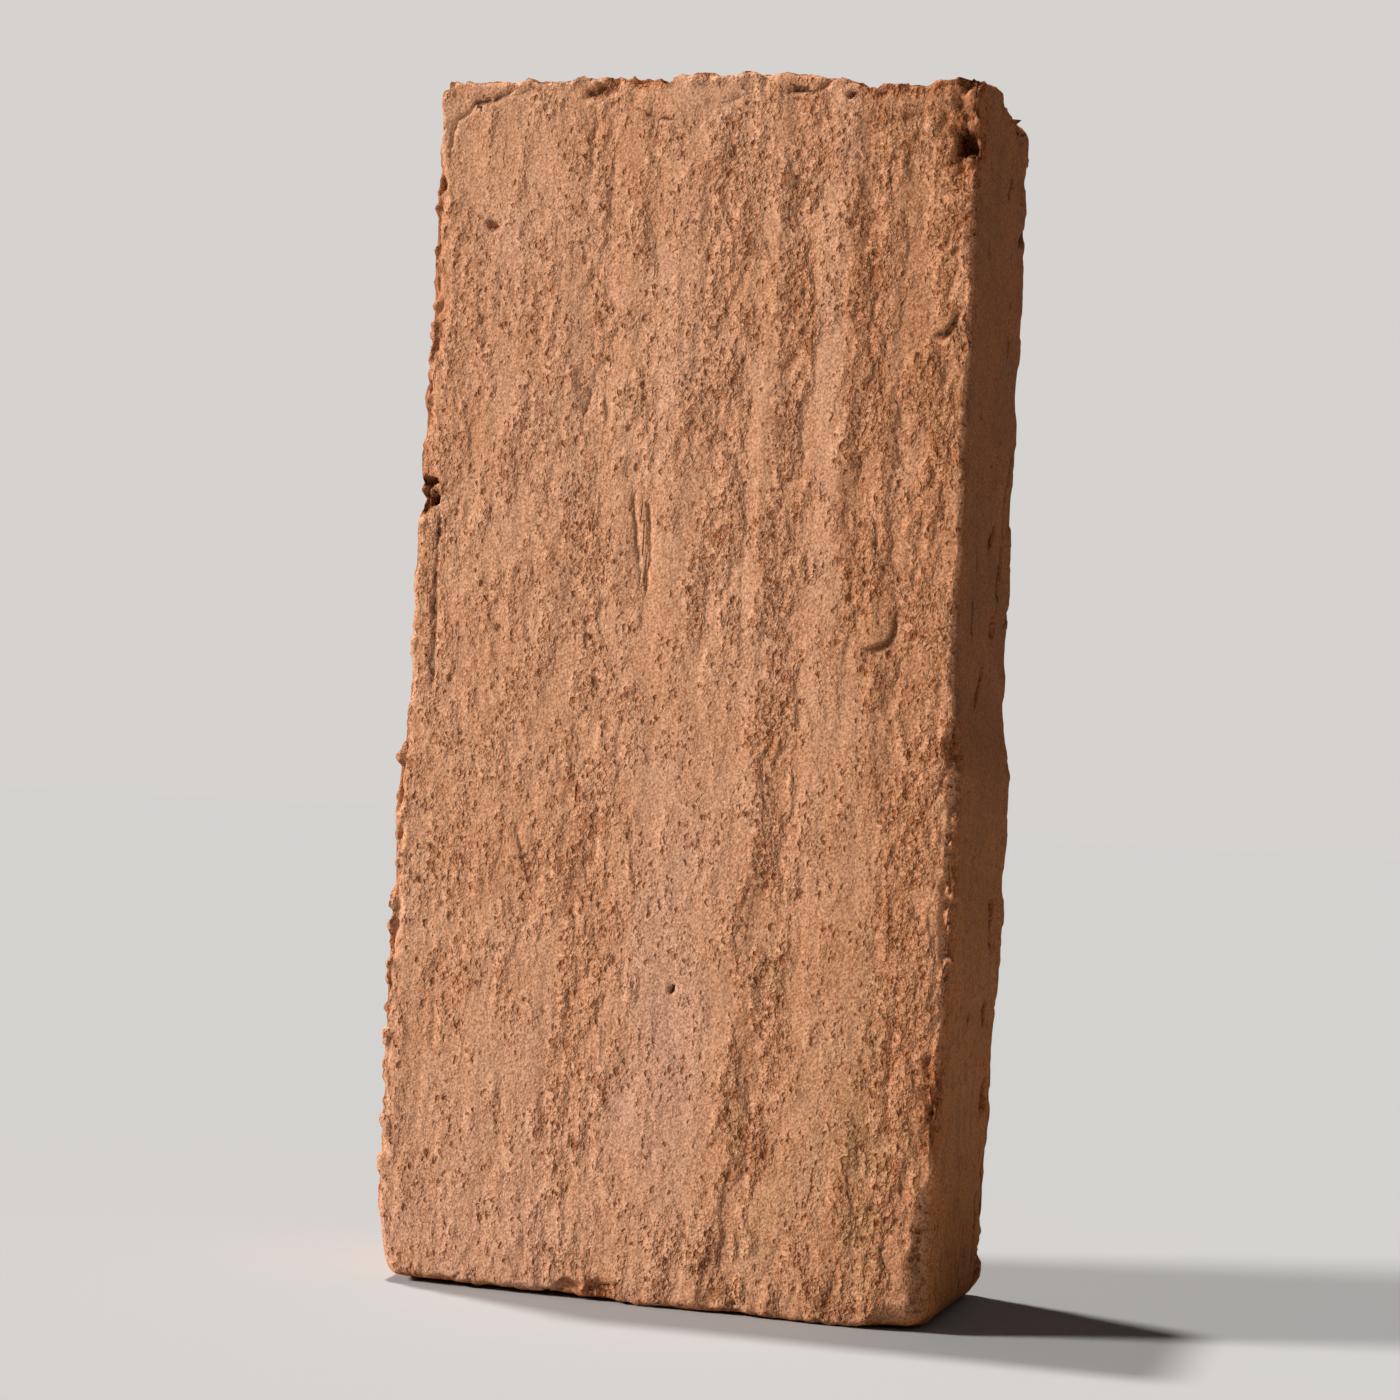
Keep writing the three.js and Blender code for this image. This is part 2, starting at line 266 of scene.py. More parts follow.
quarter = np.pi / 2
fine_loops = [struck_loop(fine_square, turn * quarter, ragged)
              for turn, ragged in ((0, 1), (0.25, 1), (0.5, 1), (0.75, 0.85), (1, 0.7))]
rim_end = fine_loops[-1]
side_depths = np.linspace(side_start, bed_y - bed_rounding, 31)
for share in (0.25, 0.5, 0.75):
    level = level_loop(fine_square, side_depths[0], 0.0)
    fine_loops.append(rim_end + (level - rim_end) * share)
for y in side_depths:
    fine_loops.append(level_loop(fine_square, y, 0.0))
coarse_loops = []
for turn in (0.75, 0.5, 0.25, 0.0):
    inset = bed_rounding * (1 - np.sin(turn * quarter))
    drop = bed_rounding * (1 - np.cos(turn * quarter))
    coarse_loops.append(level_loop(coarse_square, bed_y - drop, inset))
# A narrow flat rim lies between the bed's rounding and its own coarser loop.
bed_middle = [0, mid_height]
bed_loop = level_loop(bed_square, bed_y, bed_rounding)
bed_loop[:, [0, 2]] = bed_middle + bed_rim * (bed_loop[:, [0, 2]] - bed_middle)

struck_inside = patch_inside(fine_loops[0], across, along)
struck_inside[:, 1] = struck_y + struck_depth(struck_inside[:, 0], struck_inside[:, 2])
bed_inside = patch_inside(bed_loop, across // 4, along // 4)
points = np.concatenate(fine_loops + coarse_loops + [bed_loop, struck_inside, bed_inside])

fine_starts = np.arange(len(fine_loops)) * around
coarse_starts = len(fine_loops) * around + np.arange(len(coarse_loops)) * (around // 2)
bed_start = coarse_starts[-1] + around // 2
inside_start = bed_start + around // 4
bed_inside_start = inside_start + len(struck_inside)


def ring_quads(starts, count):
    """Quads between each loop and the next one deeper."""
    i = np.arange(count)
    n = (i + 1) % count
    rows = [np.stack([a + i, b + i, b + n, a + n], axis=1) for a, b in zip(starts[:-1], starts[1:])]
    return np.concatenate(rows)


def step_down(fine_start, coarse_start, count):
    """Three triangles join two steps of a loop to one step of the next, of half as many points."""
    i = np.arange(count)
    n = (i + 1) % count
    fine_a = fine_start + 2 * i
    fine_b = fine_a + 1
    fine_c = fine_start + 2 * n
    coarse_a = coarse_start + i
    coarse_b = coarse_start + n
    return np.concatenate([
        np.stack([fine_a, coarse_a, fine_b], axis=1),
        np.stack([fine_b, coarse_a, coarse_b], axis=1),
        np.stack([fine_b, coarse_b, fine_c], axis=1),
    ])


struck_grid = patch_numbers(0, inside_start, across, along)
bed_grid = patch_numbers(bed_start, bed_inside_start, across // 4, along // 4)
quads = np.concatenate([
    grid_quads(struck_grid),
    grid_quads(bed_grid)[:, ::-1],
    ring_quads(fine_starts, around),
    ring_quads(coarse_starts, around // 2),
])
triangles = np.concatenate([
    step_down(fine_starts[-1], coarse_starts[0], around // 2),
    step_down(coarse_starts[-1], bed_start, around // 4),
])


def surface_normals(points):
    """Outward unit normal at each point: the sum of its faces' normals, larger faces more."""
    halves = np.concatenate([triangles, quads[:, [0, 1, 2]], quads[:, [0, 2, 3]]])
    a, b, c = (points[halves[:, k]] for k in range(3))
    face = np.cross(b - a, c - a)
    total = np.stack([
        np.bincount(halves.ravel(), np.repeat(face[:, k], 3), len(points)) for k in range(3)
    ], axis=1)
    return total / np.linalg.norm(total, axis=1, keepdims=True)


def scatter(i, j, k, seed):
    """A pseudo-random whole number for each lattice cell and seed."""
    mixed = (i * 374761393 + j * 668265263 + k * 1440662683 + seed * 1274126177) & 0xFFFFFFFF
    mixed = ((mixed ^ (mixed >> 13)) * 1274126177) & 0xFFFFFFFF
    return mixed ^ (mixed >> 16)


def clay_noise(place, seed):
    """Gradient noise from about -1 to 1. Each corner of the unit cube round a point has a random
    slope; slope times the way from the corner, blended by t^3 (6t^2 - 15t + 10), is the value."""
    cell = np.floor(place)
    way = place - cell
    cell = cell.astype(np.int64)
    blend = way ** 3 * (way * (6 * way - 15) + 10)
    total = np.zeros(len(place))
    for corner in np.ndindex(2, 2, 2):
        mixed = scatter(*(cell + corner).T, seed)
        slope = np.stack([mixed & 1023, (mixed >> 10) & 1023, (mixed >> 20) & 1023], axis=1) / 511.5 - 1
        share = np.prod(np.where(corner, blend, 1 - blend), axis=1)
        total += share * np.sum(slope * (way - corner), axis=1)
    return 1.5 * total


def cells_near(place, seed):
    """For each of the 27 cells round a point: how far its random centre is, and its number."""
    cell = np.floor(place).astype(np.int64)
    for step in np.ndindex(3, 3, 3):
        near = cell + np.array(step) - 1
        mixed = scatter(*near.T, seed)
        centre = near + np.stack([mixed & 255, (mixed >> 8) & 255, (mixed >> 16) & 255], axis=1) / 255
        yield np.linalg.norm(place - centre, axis=1), scatter(*near.T, seed + 7)


def grain_height(place, seed):
    """Packed grains: 1 less the distance to the nearest grain centre, one centre to a unit cell."""
    nearest = np.full(len(place), 9.0)
    for away, number in cells_near(place, seed):
        nearest = np.minimum(nearest, away)
    return 1 - nearest


def pit_depth(place, seed, share, smallest, largest):
    """Round pits, at most one to a unit cell. A cell holds one if its random number is below
    share; inside its radius r the depth is r (1 - (away/r)^2), and the deepest pit counts."""
    deepest = np.zeros(len(place))
    for away, number in cells_near(place, seed):
        radius = smallest + (largest - smallest) * ((number >> 12) & 63) / 63
        there = number % 1000 < share * 1000
        deepest = np.maximum(deepest, there * radius * np.maximum(0, 1 - (away / radius) ** 2))
    return deepest


def window(value, low, high, soft):
    """1 between low and high, falling to 0 over soft on each side."""
    return rise(low - soft, low + soft, value) * (1 - rise(high - soft, high + soft, value))


def path_away(a, b, path):
    """How far each (a, b) is from a path of straight pieces through places, less than 0 on the
    right of its way, and 9 at most."""
    nearest = np.full(len(a), 9.0)
    for (a0, b0), (a1, b1) in zip(path[:-1], path[1:]):
        run = np.hypot(a1 - a0, b1 - b0)
        along_piece = np.clip(((a - a0) * (a1 - a0) + (b - b0) * (b1 - b0)) / run ** 2, 0, 1)
        away = np.hypot(a - a0 - along_piece * (a1 - a0), b - b0 - along_piece * (b1 - b0))
        on_left = (a1 - a0) * (b - b0) > (b1 - b0) * (a - a0)
        nearest = np.where(away < np.abs(nearest), np.where(on_left, away, -away), nearest)
    return nearest


# Which face each point is on, from where its normal faces, and how near it is to the struck edge.
normals = surface_normals(points)
x, y, z = points.T
right_x = half_width
top_z = brick_length
on_struck = rise(0.45, 0.85, -normals[:, 1])
on_foot = rise(0.5, 0.9, -normals[:, 2])
on_bed = rise(0.5, 0.9, normals[:, 1])
on_top = rise(0.5, 0.9, normals[:, 2])
on_side = rise(0.5, 0.9, np.abs(normals[:, 0]))
mould_faces = np.clip(on_side + on_bed + on_top, 0, 1)
from_outline = np.minimum.reduce([right_x - np.abs(x), z, top_z - z])
from_arris = np.hypot(np.maximum(from_outline, 0), y - struck_y)
arris = (1 - rise(0.6, 4.0, from_arris)) * (0.3 + 0.7 * rise(1, 7, z))

# How hard the board tore the struck face, 0 pressed smooth to 1 torn open. Each band changes it
# by its last number between two x (soft over the third) and two z (soft over the sixth).
swung = struck_swing(x, z)
clumps = clay_noise(points / (6.0, 6.0, 15.0), 3)
patches = clay_noise(points / (2.7, 2.7, 5.0), 4)
bent = swung + 2.2 * clumps
torn_bands = [
    (-60.0, 16.0, 6.0, 96, 150, 20, -0.10),
    (17.0, 25.0, 1.6, -30, 270, 9, 0.45),
    (43.0, 54.0, 2.5, -30, 270, 9, 0.32),
    (1.5, 12.5, 2.0, 136, 226, 12, 0.32),
    (32.0, 37.5, 1.5, 128, 232, 8, 0.40),
    (-21.5, -15.5, 1.5, 30, 232, 10, 0.30),
    (-56.0, -50.5, 1.5, 116, 232, 5, 0.30),
    (-54.0, -22.0, 6.0, 40, 236, 20, -0.12),
    (-6.0, 15.5, 3.5, 18, 122, 22, -0.48),
    (27.0, 40.5, 3.0, 16, 122, 16, -0.45),
    (-15.0, -11.0, 1.2, 120, 232, 9, -0.30),
    (-7.0, 0.5, 1.5, 118, 236, 9, -0.32),
    (24.5, 31.0, 1.5, 118, 236, 9, -0.32),
    (-46.0, -26.0, 4.0, 196, 230, 8, -0.25),
    (-54.0, -20.0, 6.0, -20, 46, 14, -0.28),
    (30.0, 58.0, 5.0, 128, 236, 12, 0.10),
    (12.8, 15.8, 0.8, 120, 236, 9, -0.30),
]
torn = 0.46 + 0.30 * clumps + 0.34 * patches - 0.45 * lip_share(x, z)
for low_x, high_x, soft_x, low_z, high_z, soft_z, change in torn_bands:
    torn = torn + change * window(bent, low_x, high_x, soft_x) * window(z, low_z, high_z, soft_z)
torn = on_struck * np.clip(torn, 0.04, 1.0)

# Crumbly places, where clay broke away: place, half sizes, how broken up and how fresh, which also sets the
# painted shade in their hollows.
crumbly_places = [
    ((right_x - 3, struck_y + 2, top_z - 12), (8, 6, 14), 0.75, 0.85),
    ((right_x - 12, struck_y + 2, top_z - 3), (20, 6, 5), 0.4, 0.8),
    ((right_x - 3, 4, top_z - 3), (5, 18, 4), 0.35, 0.3),
    ((-20.5, struck_y + 2, top_z - 2.6), (5, 4, 3.2), 0.8, 1.0),
    ((-11, struck_y + 2, top_z - 1.0), (9, 4, 2.8), 0.6, 0.8),
    ((-52, struck_y + 2, top_z - 2), (5, 4, 3.5), 0.5, 0.5),
    ((-half_width + 2, struck_y + 2, 156), (3.4, 4, 6), 0.6, 0.9),
    ((-half_width + 1.5, struck_y + 1, 192), (3.6, 3, 44), 0.75, 0.7),
    ((-half_width + 1, struck_y + 1, 90), (2.4, 3, 60), 0.5, 0.2),
    ((right_x - 1.5, struck_y + 1, 109), (2.6, 3, 5), 0.9, 0.7),
    ((right_x - 2.5, struck_y + 1, 42), (5, 4, 15), 0.65, 0.9),
    ((right_x - 1, struck_y + 1, 78), (1.8, 3, 22), 0.8, 0.5),
    ((-11, struck_y + 1, 2), (7, 3, 3.4), 0.4, 0.8),
    ((-18.5, struck_y + 1, 0.6), (3, 3, 1.8), 0.4, 0.6),
    ((-40, struck_y + 1, 0.6), (14, 3, 1.8), 0.3, 0.5),
]
crumbling = np.zeros(len(points))
fresh_and_shaded = np.zeros(len(points))
for place, size, broken, freshness in crumbly_places:
    away = np.linalg.norm((points - place) / size, axis=1) + 0.4 * clumps + 0.3 * patches
    share = 1 - rise(0.5, 1.05, away)
    crumbling = np.maximum(crumbling, broken * share)
    fresh_and_shaded = np.maximum(fresh_and_shaded, freshness * share)

# Patterns in the clay, each at its own size in millimetres, mostly longer upright as it was
# dragged, with its own seed.
shaken = points + 0.45 * np.stack([clay_noise(points / 1.7, seed) for seed in (51, 52, 53)], axis=1)
coarse_grain = clay_noise(points / (2.4, 2.4, 3.0), 11)
grain = clay_noise(points / (1.5, 1.5, 1.7), 12)
crumbs = grain_height(shaken / (2.0, 2.0, 2.3), 16) - 0.55
lumps = clay_noise(points / (8.0, 8.0, 15.0), 13)
streaks = clay_noise(points / (1.9, 1.9, 34.0), 14)
fine_streaks = clay_noise(points / (1.4, 4.0, 11.0), 15)
pores = pit_depth(shaken / (2.1, 2.1, 2.4), 21, torn + crumbling, 0.22, 0.48)
hollows = pit_depth(shaken / (4.2, 4.2, 5.0), 22, 0.75 * torn ** 2 + crumbling, 0.14, 0.28)
side_pits = pit_depth(shaken / (3.2, 3.2, 8.0), 24, 0.16 + 0.2 * rise(12, 20, y), 0.14, 0.28)
steps = rise(-0.06, 0.12, clay_noise(points / (3.6, 3.6, 5.5), 17)) - 0.5

# Relief in millimetres, out along the normal: the struck face, the mould's faces, the foot, the
# struck edge and the crumbly places.
struck_relief = (
    torn * (0.20 * coarse_grain + 0.10 * grain + 0.12 * crumbs - 0.6 * pores - 2.2 * hollows)
    + on_struck * (0.05 * grain + 0.30 * lumps + 0.11 * streaks + 0.05 * fine_streaks)
)
mould_relief = mould_faces * (0.07 * grain + 0.16 * lumps + 0.12 * streaks - 3.0 * side_pits)
back_edge = rise(12, 21, y) * rise(0.2, 0.7, np.abs(normals[:, 0]))
mould_relief += back_edge * (
    0.35 * streaks + 0.3 * coarse_grain * rise(-0.2, 0.4, clumps) + 0.6 * lumps + 0.3 * steps
)
mould_relief += on_top * (0.3 * coarse_grain + 0.3 * crumbs + 0.25 * lumps - 1.5 * pores)
foot_relief = -0.25 * on_foot * np.abs(coarse_grain)
arris_relief = arris * (1 + 0.5 * (x < -50)) * (
    0.30 * coarse_grain + 0.35 * grain + 0.75 * steps + 0.4 * crumbs - 0.1
)
crumbly_relief = crumbling * (0.6 * coarse_grain + 0.6 * grain + 1.5 * crumbs - 2.4 * pores - 0.8)
relief = struck_relief + mould_relief + foot_relief + arris_relief + crumbly_relief
# The top sinks along its front edge toward the right, and at its right end stands up behind that.
facing_up = rise(0.3, 0.8, normals[:, 2])
relief -= 1.3 * window(x, 33, 57, 4) * facing_up * (1 - rise(-20, -8, y))
relief += 1.0 * rise(50, 54, x) * facing_up * window(y, -18, -2, 6)
# Pits in the mould's faces get the fresh colour and painted shade.
fresh_and_shaded = np.maximum(fresh_and_shaded, 0.9 * mould_faces * rise(0.02, 0.1, side_pits))

# Smears of clay left standing on the struck face: place, half width, half height, lean in degrees, height,
# and how far round from the right the steep side faces. Along the steep side of a high enough smear a thin
# groove is cut and a dark line of painted shadow is laid, the more so the higher the smear.
shaded_edge_above = 0.22
smears = [
    (38.9, 133.2, 4.5, 5.6, -8, 0.36, -35),
    (48.9, 127.2, 1.9, 2.6, 25, 0.25, -10),
    (34.2, 181.6, 2.6, 3.0, 10, 0.35, -25),
    (49.9, 190.9, 1.8, 3.2, -28, 0.34, -30),
    (-53.8, 229.6, 3.6, 4.8, 0, 0.2, -10),
    (-43.5, 238.2, 8.0, 2.6, 3, 0.25, -80),
    (-28.0, 238.0, 6.5, 2.9, 0, 0.22, -80),
    (19.5, 238.8, 5.4, 2.8, 0, 0.25, -75),
    (0.0, 237.0, 9.0, 3.2, 6, 0.2, -80),
    (-23.2, 68.3, 1.6, 1.7, 0, 0.15, -30),
    (-30.5, 88.0, 2.2, 4.0, -15, 0.18, -10),
    (-10.2, 86.0, 2.6, 6.5, 4, 0.2, 0),
]
smeared = np.zeros(len(points))
crack_away = np.full(len(points), 3.0)
crack_depth = np.zeros(len(points))
for place_x, place_z, half_x, half_z, lean, height, faces in smears:
    turn = np.radians(lean)
    to_x = ((x - place_x) * np.cos(turn) + (z - place_z) * np.sin(turn)) / half_x
    to_z = ((z - place_z) * np.cos(turn) - (x - place_x) * np.sin(turn)) / half_z
    reach = np.hypot(to_x, to_z) + 0.08 * patches
    toward = to_x * np.cos(np.radians(faces)) + to_z * np.sin(np.radians(faces))
    stands = (1 - rise(0.90, 1.06, reach)) * rise(-1.1, 0.35, toward)
    relief = relief * (1 - 0.8 * on_struck * stands) + height * on_struck * stands
    smeared = np.maximum(smeared, stands)
    rim = (reach - 1.0) * half_x
    depth = on_struck * 7 * max(0, height - shaded_edge_above) * rise(0.1, 0.7, toward)
    depth = depth * (1 - rise(0.8, 2.2, np.abs(rim)))
    nearer = (np.abs(rim) < np.abs(crack_away)) & (depth > 0.01)
    crack_away = np.where(nearer, 0.6 * rim, crack_away)
    crack_depth = np.where(nearer, depth, crack_depth)

# Creases, cracks and drag marks in the struck face: their path in x and z, width and depth. One deeper than
# open_beyond is also an open crack, painted dark with the shade inside it, which closes up in places to
# under half.
open_beyond = 0.35
how_open = 0.4 + 0.6 * rise(-0.3, 0.2, patches)
marks = [
    ([(-48.0, 234.4), (-49.4, 232.6), (-51.5, 231.4), (-52.4, 229.0), (-52.7, 226.0)], 1.0, 0.95),
    ([(-47.5, 234.9), (-43.7, 235.4), (-40.3, 237.1)], 1.1, 1.2),
    ([(-25.0, 235.3), (-23.4, 235.9)], 1.2, 0.7),
    ([(-22.3, 232.4), (-21.9, 229.4), (-22.5, 227.5)], 1.3, 0.75),
    ([(-10.9, 231.7), (-9.2, 230.7), (-7.1, 230.8)], 1.0, 0.8),
    ([(4.9, 234.0), (6.4, 234.3), (8.0, 235.1)], 1.2, 0.6),
    ([(16.8, 236.0), (19.7, 236.2), (22.2, 235.8), (24.6, 236.7), (25.8, 238.4)], 1.1, 1.15),
    ([(40.7, 237.0), (42.1, 236.6), (44.5, 236.5)], 1.7, 1.0),
    ([(52.4, 192.6), (51.9, 189.8), (50.4, 187.6)], 1.3, 0.9),
    ([(50.4, 187.6), (47.8, 186.4)], 1.0, 0.4),
    ([(37.0, 155.0), (38.2, 152.0), (39.0, 147.5)], 1.3, 0.7),
    ([(-7.2, 92.8), (-6.9, 87.5), (-5.6, 81.0)], 1.3, 0.5),
    ([(-30.8, 90.5), (-29.6, 87.0), (-29.0, 84.0)], 1.3, 0.6),
    ([(-50.6, 151.5), (-50.9, 143.0), (-50.4, 128.6), (-50.5, 118.0)], 0.9, 0.85),
    ([(-10.2, 157.0), (-9.0, 148.1), (-8.0, 140.6)], 0.9, 0.7),
    ([(-7.1, 155.0), (-6.2, 146.2), (-6.4, 138.5)], 0.9, 0.75),
    ([(-20.6, 176.6), (-21.2, 173.4)], 1.2, 0.9),
    ([(-48.6, 150.5), (-48.2, 143.0)], 1.2, 0.35),
    ([(-45.6, 140.0), (-45.9, 128.0), (-46.3, 118.0)], 1.3, 0.3),
    ([(-18.4, 232.0), (-17.9, 214.0), (-17.2, 190.0), (-16.6, 168.0)], 1.8, 0.35),
    ([(-9.6, 232.0), (-9.4, 214.0), (-9.0, 192.0)], 1.4, 0.3),
    ([(2.2, 226.0), (2.6, 205.0), (2.0, 186.0)], 1.4, 0.3),
    ([(42.6, 125.5), (42.4, 121.0), (43.0, 116.0)], 1.3, 0.35),
    ([(46.8, 60.0), (46.2, 48.0), (46.6, 36.0)], 1.5, 0.5),
    ([(38.2, 205.0), (38.5, 190.0), (38.0, 172.0)], 1.3, 0.35),
    ([(-14.2, 96.0), (-14.4, 84.0), (-13.6, 70.0)], 1.8, 0.45),
    ([(-17.0, 64.0), (-18.0, 50.0), (-17.5, 36.0)], 2.0, 0.4),
    ([(26.5, 14.0), (24.5, 7.5)], 1.8, 0.4),
    ([(12.5, 26.0), (10.5, 17.0)], 1.8, 0.4),
    ([(-46.0, 58.0), (-46.4, 47.0)], 1.5, 0.4),
]
for path, width, depth in marks:
    away = path_away(x + 0.5 * patches + 0.35 * grain, z + 0.4 * coarse_grain, path)
    near = on_struck * (1 - rise(0.8, 2.2, np.abs(away)))
    relief = relief - 0.45 * depth * on_struck * (1 - rise(0.1 * width, 0.7 * width, np.abs(away)))
    nearer = (np.abs(away) < np.abs(crack_away)) & (near > 0.01)
    crack_away = np.where(nearer, 0.8 * away, crack_away)
    crack_depth = np.where(nearer, 2.0 * max(0, depth - open_beyond) * near * how_open, crack_depth)

# Scratches along the right side: path in y and z, width and depth.
scratches = [
    ([(20.8, 171.6), (15.6, 161.3), (15.1, 153.0), (12.3, 147.2), (11.3, 142.3)], 1.6, 0.85),
    ([(5.8, 155.0), (0.6, 151.0)], 1.5, 0.6),
    ([(25.0, 141.3), (21.2, 137.6)], 1.6, 0.7),
    ([(-12.7, 138.0), (-12.9, 133.0)], 1.4, 0.5),
    ([(-1.1, 125.6), (-4.0, 122.8), (-6.9, 119.5)], 1.4, 0.8),
    ([(11.0, 79.0), (11.2, 72.5)], 1.5, 0.6),
    ([(7.7, 225.9), (4.7, 221.7)], 1.6, 0.5),
    ([(23.5, 218.4), (17.7, 214.7)], 1.8, 0.7),
    ([(5.0, 16.0), (5.2, 11.5)], 1.8, 0.5),
    ([(14.5, 14.0), (15.8, 3.0)], 1.8, 0.6),
    ([(18.0, 20.0), (20.5, 4.0)], 2.0, 0.6),
    ([(22.5, 26.0), (24.0, 12.0)], 1.8, 0.5),
]
# Each scratch's groove is also painted dark, as the shade inside it.
for path, width, depth in scratches:
    away = path_away(y + 0.5 * patches, z, path)
    near = on_side * (x > 0) * (1 - rise(1.2, 3.0, np.abs(away)))
    relief = relief - depth * on_side * (x > 0) * (1 - rise(0.15 * width, 0.75 * width, np.abs(away)))
    nearer = (np.abs(away) < np.abs(crack_away)) & (near > 0.01)
    crack_away = np.where(nearer, 0.45 * away, crack_away)
    crack_depth = np.where(nearer, (0.4 + depth) * near, crack_depth)

# Nothing stands out below the foot, so that the brick still stands level.
relief = np.where(z < 1.0, np.minimum(relief, 0), relief)
points = points + normals * relief[:, None]

# Holes and chips: each is an uneven ball, and what lies in it is pushed in along its way in. Place, half
# sizes, way in, and how fresh the clay inside is, which sets both its fresh colour and how much shade is
# painted into the hole.
chips = [
    ((right_x - 4.8, struck_y + 0.8, top_z - 15.2), (2.1, 5.0, 2.5), (0.1, 1, 0), 1.5),
    ((right_x - 3.2, struck_y + 0.6, top_z - 16.6), (1.3, 3.2, 1.2), (0, 1, 0), 1.0),
    ((right_x - 4.6, struck_y + 0.3, top_z - 3.4), (2.6, 2.4, 1.2), (0, 1, 0), 1.0),
    ((right_x - 2.2, struck_y + 0.3, top_z - 2.6), (1.6, 2.2, 1.5), (0, 1, 0), 0.8),
    ((right_x - 4.8, struck_y + 0.4, top_z - 20.6), (2.2, 1.4, 1.6), (0, 1, 0), 0.7),
    ((right_x - 1.5, struck_y + 0.4, top_z - 22), (1.6, 1.8, 3.2), (-1, 1, 0), 0.6),
    ((right_x - 1.3, struck_y + 0.6, 109.5), (2.0, 2.2, 3.4), (-1, 1, 0), 0.7),
    ((right_x - 1.8, struck_y + 0.4, 43.5), (1.7, 1.6, 2.6), (-1, 1, 0), 0.9),
    ((right_x - 2.6, struck_y + 0.4, 38.4), (1.5, 1.2, 1.9), (-1, 1, 0), 0.8),
    ((right_x - 2.4, struck_y + 0.3, 33.4), (1.5, 1.1, 1.7), (-1, 1, 0), 0.7),
    ((-half_width + 4.4, struck_y + 1.0, 158.8), (1.6, 3.6, 0.9), (0, 1, 0), 1.0),
    ((-half_width + 5.3, struck_y + 1.2, 155.2), (1.2, 3.6, 1.5), (0, 1, 0), 1.0),
    ((-half_width + 3.5, struck_y + 0.8, 154.6), (1.0, 2.4, 2.0), (0, 1, 0), 1.0),
    ((-22.4, struck_y + 0.6, top_z - 3.6), (1.4, 0.9, 0.7), (0, 1, -0.2), 1.0),
    ((-19.4, struck_y + 0.4, top_z - 2.0), (1.9, 0.9, 1.3), (0, 1, -0.2), 0.9),
    ((33.5, struck_y + 1, top_z - 2.6), (2.4, 3, 1.5), (0, 1, -1), 0.6),
    ((29.8, struck_y + 0.8, 234.5), (0.7, 1.2, 0.7), (0, 1, 0), 0.8),
    ((-8.6, struck_y + 0.5, 2.2), (3.4, 1.3, 2.2), (0, 1, 0.3), 0.6),
    ((-15.0, struck_y + 0.5, 2.0), (2.6, 1.0, 1.8), (0, 1, 0.3), 0.5),
    ((2.9, struck_y + 1.0, 61), (0.6, 1.8, 0.6), (0, 1, 0), 0.9),
    ((-42.7, struck_y + 0.8, 210.4), (1.3, 1.6, 1.0), (0, 1, 0), 0.5),
    ((right_x - 1.9, 11.1, 193.8), (1.0, 1.2, 3.0), (-1, 0, 0), 1.0),
    ((right_x - 1.9, 7.4, 135.2), (1.4, 2.2, 2.8), (-1, 0, 0), 1.05),
    ((right_x - 1.9, 0.6, 151.4), (0.8, 1.1, 2.0), (-1, 0, 0), 0.95),
    ((right_x - 1.2, 17.6, 40.4), (1.2, 1.7, 3.2), (-1, 0, 0), 0.95),
    ((right_x - 1.4, 23.0, 8.0), (1.2, 1.6, 4.0), (-1, 0, 0), 0.8),
    ((right_x + 0.3, 9.6, 79.8), (1.8, 2.6, 1.2), (-1, 0, 0), 1.1),
    ((right_x + 0.1, 10.6, 77.4), (1.5, 1.4, 2.2), (-1, 0, 0), 1.1),
    ((right_x - 0.2, 10.2, 59.4), (1.6, 2.2, 1.1), (-1, 0, 0), 1.1),
    ((right_x - 0.2, 11.2, 57.0), (1.4, 1.3, 2.2), (-1, 0, 0), 1.1),
    ((right_x - 1.6, 24.0, 229.6), (2.0, 2.0, 3.0), (-1, 0, 0), 0.9),
    ((right_x - 1.2, 7, 236.6), (1.0, 1.7, 0.9), (1, 0, 0.5), 0.3),
    ((right_x - 1.1, 12, 235.2), (1.0, 1.5, 0.9), (1, 0, 0.3), 0.3),
]
uneven = 1 + 0.35 * clay_noise(points / 1.9, 31) + 0.3 * clay_noise(points / 0.9, 32)
for place, size, way_in, strength in chips:
    way = np.array(way_in, dtype=float) / np.linalg.norm(way_in)
    offset = (points - place) / size
    pace = way / size
    square = np.sum(offset * offset, axis=1)
    # How far along the way in the ball's far side lies: the larger root of its quadratic.
    a = np.sum(pace * pace)
    b = offset @ pace
    push = (-b + np.sqrt(np.maximum(b * b - a * (square - uneven ** 2), 0))) / a
    points = points + np.where(square < uneven ** 2, push, 0.0)[:, None] * way
    fresh_and_shaded = np.maximum(fresh_and_shaded, strength * (1 - rise(0.85, 1.25, np.sqrt(square) / uneven)))

# Cool pale dust low on the left and down the pressed middle, partly painted light on the smooth bands that
# face the lamp, a little green growth low on the right, and a redder colour to the right and where torn,
# there partly painted warm shade.
drifts = clay_noise(points / (9.0, 9.0, 16.0), 61)
dusty = 0.55 * (1 - rise(10, 90, z)) * (1 - rise(-30, 20, x))
dusty = dusty + 0.7 * window(swung + 4 * clumps, -6, 9, 5) * window(z, 22, 98, 22)
